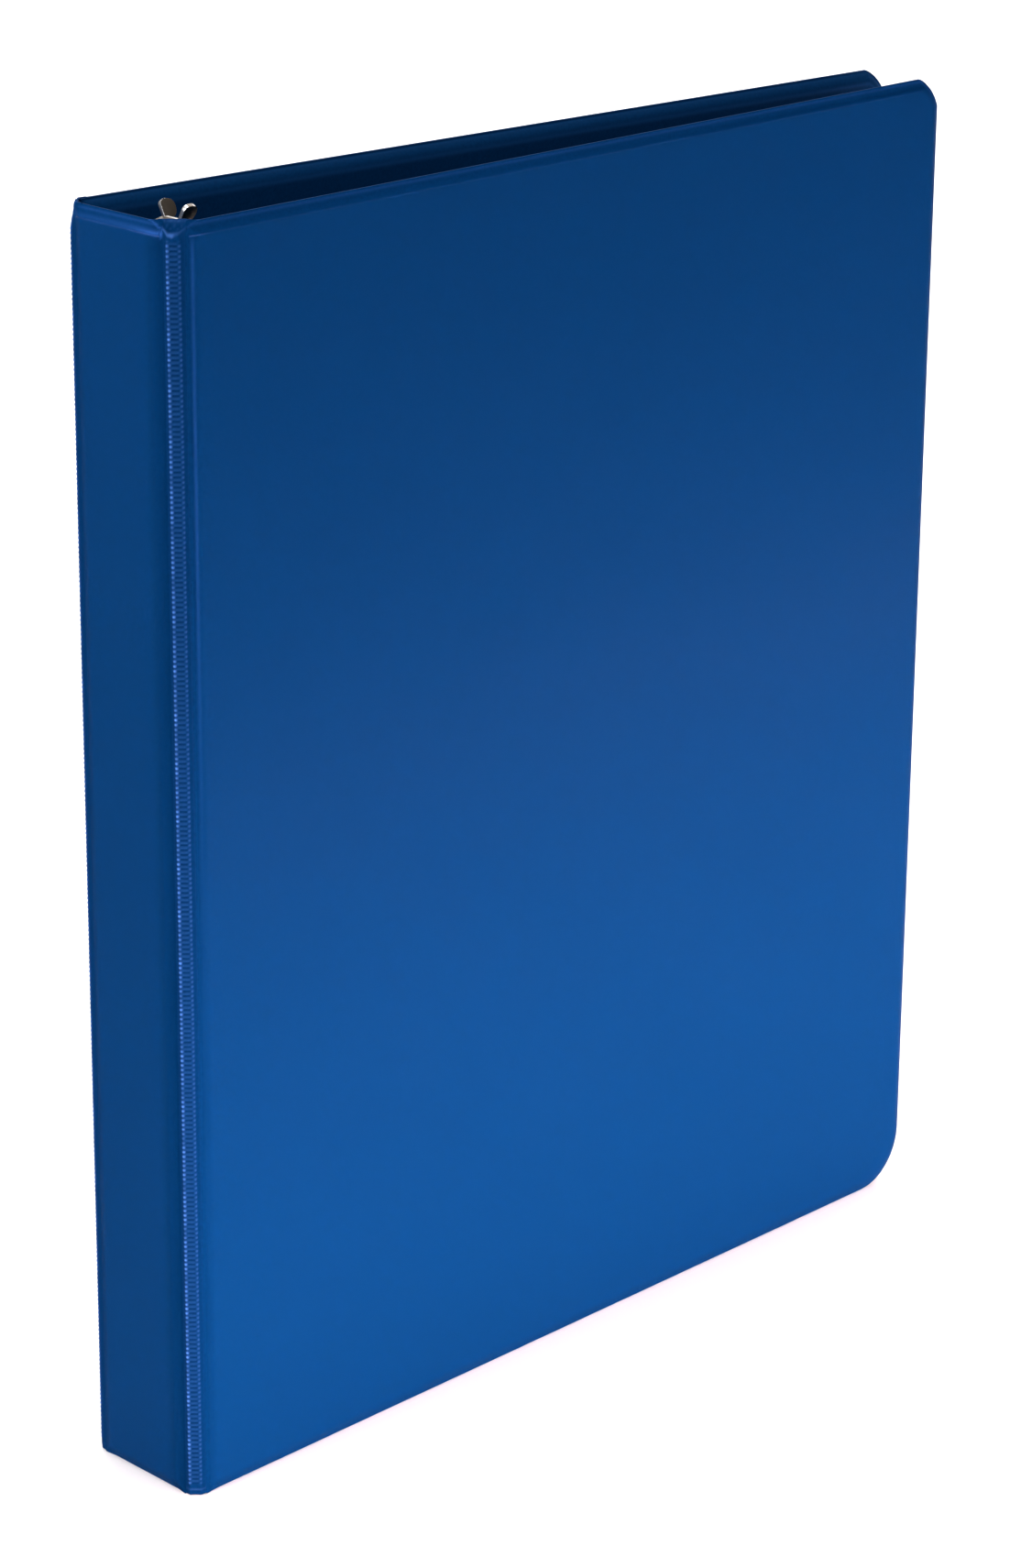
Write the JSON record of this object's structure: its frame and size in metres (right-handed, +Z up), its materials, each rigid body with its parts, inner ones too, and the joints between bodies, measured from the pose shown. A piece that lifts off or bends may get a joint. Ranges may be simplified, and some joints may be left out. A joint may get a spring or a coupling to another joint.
{
  "type": "ring binder",
  "caption": "Slim ring binder with stiff vinyl covers on welded hinges, clear overlay pockets outside, and a ring mechanism on the spine that a trigger at either end opens.",
  "frame": {"origin": "middle of the footprint, on the surface the binder stands on", "axes": "+Z up along the spine, -X out of the spine, +X towards the free edges of the covers, -Y out of the front cover"},
  "size_m": [0.2546, 0.0372, 0.2952],
  "materials": {
    "cover_vinyl": "fine-grained semi-gloss blue vinyl",
    "hinge_vinyl": "knurled welded blue vinyl",
    "liner_vinyl": "satin blue vinyl",
    "pocket_vinyl": "smooth blue vinyl",
    "clear_film": "clear polypropylene film",
    "board": "grey board",
    "nickel_steel": "nickel-plated steel",
    "zinc_steel": "plain zinc-plated steel"
  },
  "bodies": {
    "spine": {"spine_board": "board", "spine_outer_vinyl": "cover_vinyl", "spine_inner_liner": "liner_vinyl", "spine_clear_overlay": "clear_film", "front_hinge_strip": "hinge_vinyl", "rear_hinge_strip": "hinge_vinyl", "ring_housing": "nickel_steel", "upper_rivet": "zinc_steel", "lower_rivet": "zinc_steel", "top_trigger_pin": "zinc_steel", "bottom_trigger_pin": "zinc_steel"},
    "front_cover": {"front_board": "board", "front_outer_vinyl": "cover_vinyl", "front_inner_liner": "liner_vinyl", "front_clear_overlay": "clear_film", "front_inner_pocket": "pocket_vinyl"},
    "rear_cover": {"rear_board": "board", "rear_outer_vinyl": "cover_vinyl", "rear_inner_liner": "liner_vinyl", "rear_clear_overlay": "clear_film", "rear_inner_pocket": "pocket_vinyl"},
    "front_ring_plate": {"front_ring_plate": "zinc_steel", "front_ring_half_1": "nickel_steel", "front_ring_half_2": "nickel_steel", "front_ring_half_3": "nickel_steel"},
    "rear_ring_plate": {"rear_ring_plate": "zinc_steel", "rear_ring_half_1": "nickel_steel", "rear_ring_half_2": "nickel_steel", "rear_ring_half_3": "nickel_steel"},
    "top_trigger": {"top_trigger": "nickel_steel"},
    "bottom_trigger": {"bottom_trigger": "nickel_steel"}
  },
  "joints": [
    {"name": "front_cover_hinge", "type": "hinge", "parent": "spine", "child": "front_cover", "pos_m": [-0.1254, -0.01685, 0.1475], "axis": [0, 0, -1], "range_deg": [0, 180]},
    {"name": "rear_cover_hinge", "type": "hinge", "parent": "spine", "child": "rear_cover", "pos_m": [-0.1254, 0.01685, 0.1475], "axis": [0, 0, 1], "range_deg": [0, 180]},
    {"name": "front_ring_plate_hinge", "type": "hinge", "parent": "spine", "child": "front_ring_plate", "pos_m": [-0.12215, -0.0073, 0.1478], "axis": [0, 0, -1], "range_deg": [0, 13]},
    {"name": "rear_ring_plate_hinge", "type": "hinge", "parent": "spine", "child": "rear_ring_plate", "pos_m": [-0.12215, 0.0073, 0.1478], "axis": [0, 0, 1], "range_deg": [0, 13]},
    {"name": "top_trigger_pivot", "type": "hinge", "parent": "spine", "child": "top_trigger", "pos_m": [-0.1217, 0, 0.2788], "axis": [0, -1, 0], "range_deg": [0, 21]},
    {"name": "bottom_trigger_pivot", "type": "hinge", "parent": "spine", "child": "bottom_trigger", "pos_m": [-0.1217, 0, 0.0168], "axis": [0, 1, 0], "range_deg": [0, 21]}
  ],
  "couplings": [
    {"joint": "rear_ring_plate_hinge", "follows": "front_ring_plate_hinge", "ratio": 1},
    {"joint": "top_trigger_pivot", "follows": "front_ring_plate_hinge", "ratio": 1.6},
    {"joint": "bottom_trigger_pivot", "follows": "front_ring_plate_hinge", "ratio": 1.6}
  ]
}
